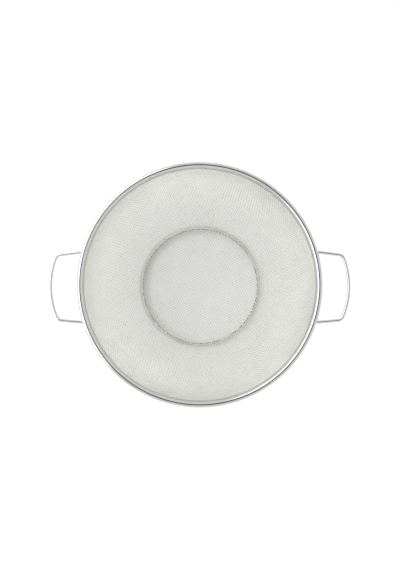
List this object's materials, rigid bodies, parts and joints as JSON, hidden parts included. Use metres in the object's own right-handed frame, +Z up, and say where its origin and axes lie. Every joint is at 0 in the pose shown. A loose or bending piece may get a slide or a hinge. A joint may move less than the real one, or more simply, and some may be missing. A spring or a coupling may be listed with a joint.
{
  "type": "mesh strainer",
  "caption": "Round wire-mesh strainer bowl with a rolled rim, two bent-wire loop handles and a sheet-steel foot ring to stand on.",
  "frame": {"origin": "middle of the foot on the table: the centre of the bottom of the bounding box", "axes": "+Z up, +X along the handles to the right handle in the picture, +Y towards the top of the picture"},
  "size_m": [0.3076, 0.25, 0.095],
  "materials": {
    "wire_cloth": "drawn wire, woven",
    "rim_sheet": "polished",
    "rim_wire": "drawn wire",
    "foot_sheet": "satin",
    "handle_wire": "polished"
  },
  "bodies": {
    "root": {"mesh_bowl": "wire_cloth", "rim_roll": "rim_sheet", "rim_core_wire": "rim_wire", "foot_ring": "foot_sheet", "right_handle": "handle_wire", "left_handle": "handle_wire"}
  },
  "joints": []
}
